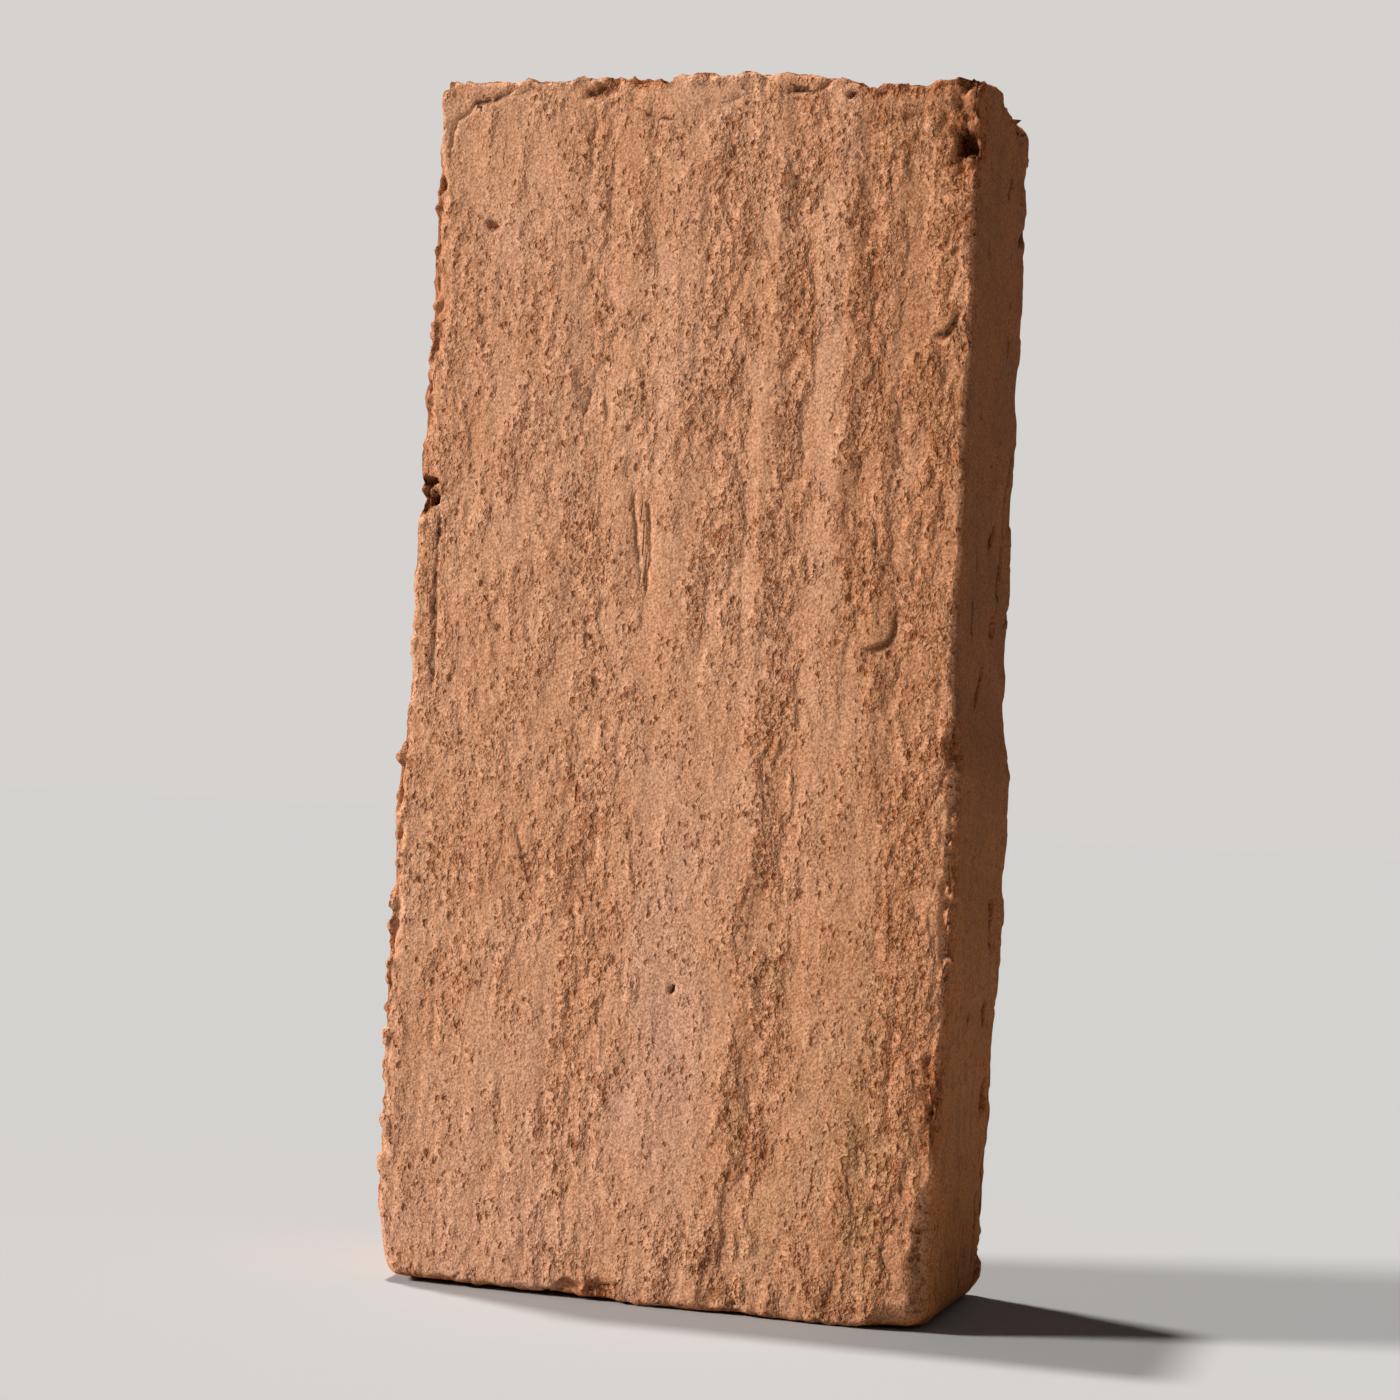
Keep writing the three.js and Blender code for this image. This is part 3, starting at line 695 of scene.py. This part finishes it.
# The pale of these smooth bands is partly painted light, where their slopes face the lamp.
dusty = dusty + 0.35 * window(bent, -7, 0, 2) * window(z, 150, 236, 20)
dusty = dusty + 0.35 * window(bent, 25, 31, 2) * window(z, 120, 236, 20)
dusty = dusty + 0.35 * window(x, -46, -28, 8) * window(z, 150, 236, 30)
dusty = np.clip(on_struck * (dusty + 0.35 * drifts + 0.25 * patches - 0.35 * torn), 0, 1)
green = window(x, 16, 50, 9) * window(z, 4, 72, 18) * rise(0.0, 0.5, drifts + 0.5 * patches + 0.15)
green = np.clip(on_struck * green * (0.4 + 0.6 * torn), 0, 1)
# Redder toward the right; where torn, the red is partly painted warm shade of the torn hollows.
ruddy = on_struck * np.clip(0.75 * rise(6, 46, x) + 0.45 * (torn - 0.5) + 0.3 * clumps, 0, 1)

mesh = bpy.data.meshes.new("clay_brick_skin")
mesh.from_pydata((points / 1000).tolist(), [], triangles.tolist() + quads.tolist())
mesh.shade_smooth()
# How open the grain is: most where torn or broken, least on the smears and the pressed sides.
open_grain = 0.92 * np.maximum.reduce([torn * (1 - 0.8 * smeared), fresh_and_shaded, 0.8 * arris])
open_grain += (0.12 + 0.04 * on_struck) * (1 - 0.9 * smeared)
surface_shares = {"open_grain": open_grain, "fresh_and_shaded": fresh_and_shaded, "struck": on_struck, "dusty": dusty,
                  "green": green, "ruddy": ruddy, "crack_away": crack_away,
                  "crack_depth": crack_depth}
for name, values in surface_shares.items():
    mesh.attributes.new(name, "FLOAT", "POINT").data.foreach_set("value", values.astype(np.float32))
brick = bpy.data.objects.new("clay_brick_skin", mesh)
bpy.context.collection.objects.link(brick)


def linear(hex_colour):
    """sRGB hex to linear red, green, blue and alpha 1."""
    parts = [int(hex_colour[k:k + 2], 16) / 255 for k in (1, 3, 5)]
    return tuple(c / 12.92 if c <= 0.04045 else ((c + 0.055) / 1.055) ** 2.4 for c in parts) + (1.0,)


def add_node(tree, kind, inputs=(), **properties):
    """Adds a node and sets its properties. Each input gets a value, or a link from an output."""
    node = tree.nodes.new("ShaderNode" + kind)
    for name, value in properties.items():
        setattr(node, name, value)
    for name, value in dict(inputs).items():
        if isinstance(value, bpy.types.NodeSocket):
            tree.links.new(value, node.inputs[name])
        else:
            node.inputs[name].default_value = value
    return node


def to_a_metre(size):
    """How many of a size in millimetres go to a metre, to the nearest 5: a pattern's Scale."""
    return 5.0 * round(200 / size)


# Low-fired sandy red clay, struck off with a board: quite matt, dusty pink where pressed smooth, orange and
# grainy where torn, deep red-brown where freshly broken, with painted shade in its pits, hollows and cracks
# and on the mould's faces, and painted light on its smooth bands. Inputs 0 to 4 of a MapRange are its
# value, the low and high it comes from, and the low and high it goes to. Inputs 0, 6 and 7 of a Mix are the
# share, the colour below and the colour laid over it.
clay = bpy.data.materials.new("fired_clay_struck")
clay.use_nodes = True
tree = clay.node_tree
tree.nodes.clear()
coords = add_node(tree, "TexCoord").outputs["Object"]
height_up = add_node(tree, "SeparateXYZ", {"Vector": coords}).outputs[2]
share_of = {name: add_node(tree, "Attribute", attribute_name=name).outputs["Fac"]
            for name in surface_shares}

# Places for the patterns. A noise of 1 mm shakes them by up to half a millimetre, so that nothing
# is quite round, and they are drawn out upright, as the board dragged the clay.
shake = add_node(tree, "TexNoise", {"Vector": coords, "Scale": to_a_metre(1.0), "Detail": 1.0})
shake = add_node(tree, "VectorMath", {0: shake.outputs["Color"], 1: (0.5, 0.5, 0.5)}, operation="SUBTRACT")
shake = add_node(tree, "VectorMath", {0: shake.outputs[0], "Scale": 0.0011}, operation="SCALE")
shaken_place = add_node(tree, "VectorMath", {0: coords, 1: shake.outputs[0]}, operation="ADD").outputs[0]
dragged = add_node(tree, "Mapping", {"Vector": shaken_place, "Scale": (1.0, 1.0, 0.75)}).outputs[0]
drawn_out = add_node(tree, "Mapping", {"Vector": coords, "Scale": (1.0, 1.0, 0.5)}).outputs[0]
combed_place = add_node(tree, "Mapping", {"Vector": coords, "Scale": (1.0, 1.0, 0.03)}).outputs[0]
scraped_place = add_node(tree, "Mapping", {"Vector": coords, "Scale": (1.0, 1.0, 0.55)}).outputs[0]

# Noises in the clay: clusters of torn grain, crumbs, torn scales, sand, the lines that the board
# combed and the mould scraped, and drifts of colour. Each has its place, the length of a wave in
# millimetres, its detail and its roughness.
noise_of = {}
for name, place, wave, detail, roughness in (("cluster", drawn_out, 6.67, 2.0, 0.7),
                                             ("crumbs", dragged, 2.08, 3.0, 0.62),
                                             ("scales", dragged, 2.17, 3.0, 0.65),
                                             ("sand", coords, 0.435, 0.0, 0.6),
                                             ("combed", combed_place, 2.38, 2.0, 0.6),
                                             ("scraped", scraped_place, 2.38, 3.0, 0.7),
                                             ("drift", coords, 18.2, 5.0, 0.6)):
    noise_inputs = {"Vector": place, "Scale": to_a_metre(wave), "Detail": detail,
                    "Roughness": roughness}
    noise_of[name] = add_node(tree, "TexNoise", noise_inputs).outputs["Fac"]

clustering = add_node(tree, "MapRange", {0: noise_of["cluster"], 1: 0.42, 2: 0.58, 3: 0.2, 4: 1.7})
open_here = {0: share_of["open_grain"], 1: clustering.outputs[0]}
open_here = add_node(tree, "Math", open_here, operation="MULTIPLY").outputs[0]


def round_pits(cell, where_open, everywhere, smallest, largest):
    """Depth of pits, 1 - (away / radius)^2 from 1 at the middle to 0 at the rim, in cells of a
    size in millimetres. The share of the cells with a pit is everywhere plus where_open times
    how open the grain is, and its radius lies between the smallest and largest share of a cell."""
    share = {0: open_here, 1: where_open, 2: everywhere}
    share = add_node(tree, "Math", share, operation="MULTIPLY_ADD").outputs[0]
    cells = add_node(tree, "TexVoronoi", {"Vector": dragged, "Scale": to_a_metre(cell)})
    numbers = add_node(tree, "SeparateColor", {"Color": cells.outputs["Color"]}).outputs
    radius = add_node(tree, "MapRange", {0: numbers[0], 1: 0.0, 2: 1.0, 3: smallest, 4: largest}).outputs[0]
    away = add_node(tree, "Math", {0: cells.outputs["Distance"], 1: radius}, operation="DIVIDE").outputs[0]
    bowl = add_node(tree, "Math", {0: away, 1: -1.0}, operation="MULTIPLY").outputs[0]
    bowl = add_node(tree, "Math", {0: bowl, 1: away, 2: 1.0}, operation="MULTIPLY_ADD").outputs[0]
    bowl = add_node(tree, "Math", {0: bowl, 1: 0.0}, operation="MAXIMUM").outputs[0]
    there = add_node(tree, "Math", {0: share, 1: numbers[1]}, operation="SUBTRACT").outputs[0]
    there = add_node(tree, "MapRange", {0: there, 1: 0.0, 2: 0.12}).outputs[0]
    return add_node(tree, "Math", {0: bowl, 1: there}, operation="MULTIPLY").outputs[0]


# Three sizes of pits and, finer than them, the grains of sand.
specks = round_pits(0.714, 0.80, 0.12, 0.20, 0.48)
small_pits = round_pits(1.16, 1.1, 0.02, 0.24, 0.52)
large_pits = round_pits(2.27, 1.0, -0.02, 0.15, 0.42)
sand_cells = add_node(tree, "TexVoronoi", {"Vector": coords, "Scale": to_a_metre(0.3704)})
sand_number = add_node(tree, "SeparateColor", {"Color": sand_cells.outputs["Color"]}).outputs[0]

# A torn scale's edge is where its noise passes a height, a second one weaker than the first.
scale_edge = add_node(tree, "MapRange", {0: noise_of["scales"], 1: 0.38, 2: 0.43}).outputs[0]
second_edge = add_node(tree, "MapRange", {0: noise_of["scales"], 1: 0.56, 2: 0.59, 4: 0.4}).outputs[0]
scale_edges = add_node(tree, "Math", {0: scale_edge, 1: second_edge}, operation="ADD").outputs[0]

# A crack is 0.55 mm to each side of its line, which crumbs fray.
from_crack = add_node(tree, "Math", {0: share_of["crack_away"], 1: 0.15}, operation="SUBTRACT").outputs[0]
from_crack = {0: noise_of["crumbs"], 1: 0.3, 2: from_crack}
from_crack = add_node(tree, "Math", from_crack, operation="MULTIPLY_ADD").outputs[0]
from_crack = add_node(tree, "Math", {0: from_crack}, operation="ABSOLUTE").outputs[0]
crack = add_node(tree, "MapRange", {0: from_crack, 1: 0.55, 2: 0.0}).outputs[0]
crack = add_node(tree, "Math", {0: crack, 1: share_of["crack_depth"]}, operation="MULTIPLY").outputs[0]

# Height of the grain in millimetres. Sand lies all over, crumbs and scales stand higher where the
# clay is torn, combed lines show most in the upper half, and pits and cracks go in.
scale_height = add_node(tree, "Math", {0: open_here, 1: 0.20, 2: 0.02}, operation="MULTIPLY_ADD").outputs[0]
crumb_height = add_node(tree, "Math", {0: open_here, 1: 0.70, 2: 0.22}, operation="MULTIPLY_ADD").outputs[0]
upper_half = add_node(tree, "MapRange", {0: height_up, 1: 0.09, 2: 0.15, 3: 0.3, 4: 1.0}).outputs[0]
combed_height = add_node(tree, "Math", {0: upper_half, 1: 0.12}, operation="MULTIPLY").outputs[0]
height = add_node(tree, "Math", {0: sand_number, 1: 0.02}, operation="MULTIPLY").outputs[0]
for pattern, tall in ((noise_of["sand"], 0.10), (scale_edges, scale_height),
                      (noise_of["crumbs"], crumb_height), (noise_of["combed"], combed_height),
                      (specks, -0.18), (small_pits, -0.42), (large_pits, -0.62), (crack, -0.55)):
    height = add_node(tree, "Math", {0: pattern, 1: tall, 2: height}, operation="MULTIPLY_ADD").outputs[0]


def stained(under, stain, mask, most):
    """The colour under, mixed toward the stain by the mask times most."""
    share = add_node(tree, "Math", {0: mask, 1: most}, operation="MULTIPLY").outputs[0]
    return add_node(tree, "Mix", {0: share, 6: under, 7: linear(stain)}, data_type="RGBA").outputs[2]


# The struck face: orange clay that drifts in patches, with red laid on (partly painted warm shade where
# torn), pale dust (partly painted light on the smooth bands) and green.
drifting = add_node(tree, "MapRange", {0: noise_of["drift"], 1: 0.36, 2: 0.64}).outputs[0]
struck_colour = {0: drifting, 6: linear("#D4936A"), 7: linear("#DFA47E")}
struck_colour = add_node(tree, "Mix", struck_colour, data_type="RGBA").outputs[2]
struck_colour = stained(struck_colour, "#B47043", share_of["ruddy"], 0.8)
struck_colour = stained(struck_colour, "#D8A78E", share_of["dusty"], 0.75)
struck_colour = stained(struck_colour, "#A88A56", share_of["green"], 0.5)

# The mould's faces: darker red-brown skin, its darkness partly painted shade, paler and more orange toward
# the foot as painted bounce light from the floor, scraped darker.
drifting = add_node(tree, "MapRange", {0: noise_of["drift"], 1: 0.38, 2: 0.62}).outputs[0]
mould_colour = {0: drifting, 6: linear("#783C12"), 7: linear("#924C1A")}
mould_colour = add_node(tree, "Mix", mould_colour, data_type="RGBA").outputs[2]
# Painted bounce light: paler and more orange toward the foot, as the lit floor would light it.
painted_floor_bounce = add_node(tree, "MapRange", {0: height_up, 1: 0.12, 2: 0.02}).outputs[0]
mould_colour = {0: painted_floor_bounce, 6: mould_colour, 7: linear("#C87836")}
mould_colour = add_node(tree, "Mix", mould_colour, data_type="RGBA").outputs[2]
scraped = add_node(tree, "MapRange", {0: noise_of["scraped"], 1: 0.50, 2: 0.64, 4: 0.5}).outputs[0]
mould_colour = {0: scraped, 6: mould_colour, 7: linear("#583018")}
mould_colour = add_node(tree, "Mix", mould_colour, data_type="RGBA").outputs[2]
colour = {0: share_of["struck"], 6: mould_colour, 7: struck_colour}
colour = add_node(tree, "Mix", colour, data_type="RGBA").outputs[2]

# Sand grains, dark and pale, with more of the pale ones on the struck face.
grains = {0: noise_of["sand"], 1: 1.4, 2: sand_number}
grains = add_node(tree, "Math", grains, operation="MULTIPLY_ADD").outputs[0]
pale_grains = add_node(tree, "MapRange", {0: grains, 1: 0.6, 2: 1.8}).outputs[0]
dark_grains = add_node(tree, "Math", {0: 1.0, 1: pale_grains}, operation="SUBTRACT").outputs[0]
colour = stained(colour, "#8A4E2C", dark_grains, 0.56)
pale_share = {0: share_of["struck"], 1: 0.14, 2: 0.22}
pale_share = add_node(tree, "Math", pale_share, operation="MULTIPLY_ADD").outputs[0]
colour = stained(colour, "#F0C09A", pale_grains, pale_share)

# Pits are painted darker and redder, as shade in their hollows; plucked scales show redder clay, darkened
# partly as painted shade below the scale's edge; fresh breaks show the redder clay inside.
speck_painted_shade = add_node(tree, "MapRange", {0: specks, 1: 0.0, 2: 0.6}).outputs[0]
colour = stained(colour, "#A0582C", speck_painted_shade, 0.38)
small_pit_painted_shade = add_node(tree, "MapRange", {0: small_pits, 1: 0.1, 2: 0.6}).outputs[0]
colour = stained(colour, "#8C4822", small_pit_painted_shade, 0.5)
# Plucked scales: redder clay, partly painted shade in the recess below each scale's edge.
plucked_and_shaded = add_node(tree, "MapRange", {0: noise_of["scales"], 1: 0.41, 2: 0.37}).outputs[0]
plucked_shade_share = add_node(tree, "Math", {0: open_here, 1: 0.6}, operation="MULTIPLY").outputs[0]
plucked_and_shaded = add_node(tree, "Math", {0: plucked_and_shaded, 1: plucked_shade_share}, operation="MULTIPLY").outputs[0]
plucked_and_shaded = add_node(tree, "Math", {0: plucked_and_shaded, 1: 0.45}, operation="MINIMUM").outputs[0]
colour = add_node(tree, "Mix", {0: plucked_and_shaded, 6: colour, 7: linear("#9C5529")}, data_type="RGBA").outputs[2]
# Painted shade in the large pits.
large_pit_painted_shade = add_node(tree, "MapRange", {0: large_pits, 1: 0.1, 2: 0.6}).outputs[0]
colour = stained(colour, "#854622", large_pit_painted_shade, 0.62)
colour = stained(colour, "#A85C30", share_of["fresh_and_shaded"], 0.55)

# Painted shade: the deepest of the fresh breaks, the holes and the cracks are painted nearly black brown,
# standing for the shade inside them.
painted_hollow_shade = {0: noise_of["crumbs"], 1: -1.2, 2: share_of["fresh_and_shaded"]}
painted_hollow_shade = add_node(tree, "Math", painted_hollow_shade, operation="MULTIPLY_ADD").outputs[0]
painted_hollow_shade = add_node(tree, "MapRange", {0: painted_hollow_shade, 1: 0.15, 2: 0.65}).outputs[0]
painted_hollow_shade = add_node(tree, "Math", {0: painted_hollow_shade, 1: 0.85}, operation="MULTIPLY").outputs[0]
painted_crack_shade = add_node(tree, "MapRange", {0: crack, 1: 0.25, 2: 0.8, 4: 0.75}).outputs[0]
painted_hollow_shade = add_node(tree, "Math", {0: painted_hollow_shade, 1: painted_crack_shade}, operation="MAXIMUM").outputs[0]
colour = add_node(tree, "Mix", {0: painted_hollow_shade, 6: colour, 7: linear("#502A15")}, data_type="RGBA").outputs[2]

grain_bump = add_node(tree, "Bump", {"Strength": 1.0, "Distance": 0.001, "Height": height})
clay_inputs = {"Base Color": colour, "Normal": grain_bump.outputs["Normal"], "Roughness": 0.95,
               "IOR": 1.45, "Specular IOR Level": 0.1}
shader = add_node(tree, "BsdfPrincipled", clay_inputs)
add_node(tree, "OutputMaterial", {"Surface": shader.outputs["BSDF"]})
mesh.materials.append(clay)

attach(brick, "root")
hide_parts("clay_brick")

# ----------------------------------------------------------------------------------------
# The floor and the light: a wide plain floor of matt grey paint. A strong lamp low on the left
# rakes the struck face, a sharp one overhead lights the top and the floor, and a wide faint one
# high on the right softens the shadows. The space beyond is a little paler than the lit floor.

floor_mesh = bpy.data.meshes.new("floor")
reach = 60
floor_corners = [(-reach, -reach, 0), (reach, -reach, 0), (reach, reach, 0), (-reach, reach, 0)]
floor_mesh.from_pydata(floor_corners, [], [(0, 1, 2, 3)])
floor = bpy.data.objects.new("floor", floor_mesh)
bpy.context.collection.objects.link(floor)
paint = bpy.data.materials.new("matt_floor_paint")
paint.use_nodes = True
paint_inputs = paint.node_tree.nodes["Principled BSDF"].inputs
paint_inputs["Base Color"].default_value = linear("#B3B1AF")
paint_inputs["Roughness"].default_value = 1.0
paint_inputs["Specular IOR Level"].default_value = 0.0
floor_mesh.materials.append(paint)

# Each lamp's name, the way to it, its strength and how wide it is in radians.
for name, way, energy, angle in (("key_lamp", (-0.85, -0.40, 0.42), 4.55, 0.20),
                                 ("top_lamp", (-0.20, 0.085, 1.0), 2.6, 0.05),
                                 ("fill_lamp", (0.45, -0.60, 0.70), 0.12, 1.2)):
    lamp = bpy.data.objects.new(name, bpy.data.lights.new(name, "SUN"))
    lamp.data.energy = energy
    lamp.data.angle = angle
    lamp.rotation_mode = "QUATERNION"
    lamp.rotation_quaternion = Vector(way).to_track_quat("Z", "Y")
    bpy.context.collection.objects.link(lamp)

world = bpy.data.worlds.new("room")
bpy.context.scene.world = world
world.use_nodes = True
sky = world.node_tree
sky.nodes.clear()
to_camera = add_node(sky, "LightPath").outputs["Is Camera Ray"]
room_light = add_node(sky, "Background", {"Color": linear("#FFFFFF"), "Strength": 0.035}).outputs[0]
backdrop = add_node(sky, "Background", {"Color": linear("#D5D2D0"), "Strength": 1.0}).outputs[0]
seen = add_node(sky, "MixShader", {0: to_camera, 1: room_light, 2: backdrop}).outputs[0]
add_node(sky, "OutputWorld", {"Surface": seen})

# ----------------------------------------------------------------------------------------
# The camera stands low in front and a little to the right, leaning slightly.

camera = bpy.data.objects.new("camera", bpy.data.cameras.new("camera"))
camera.data.sensor_width = 36.0
camera.data.lens = 71.9
camera.data.clip_start = 0.01
right = Vector((0.9574, 0.2842, 0.0514))
up = Vector((-0.0372, -0.0553, 0.9978))
back = right.cross(up)
turned = Matrix((right, up, back)).transposed().to_4x4()
camera.matrix_world = Matrix.Translation((0.1602, -0.5426, 0.0941)) @ turned
bpy.context.collection.objects.link(camera)
bpy.context.scene.camera = camera
bpy.context.scene.view_settings.view_transform = "Standard"
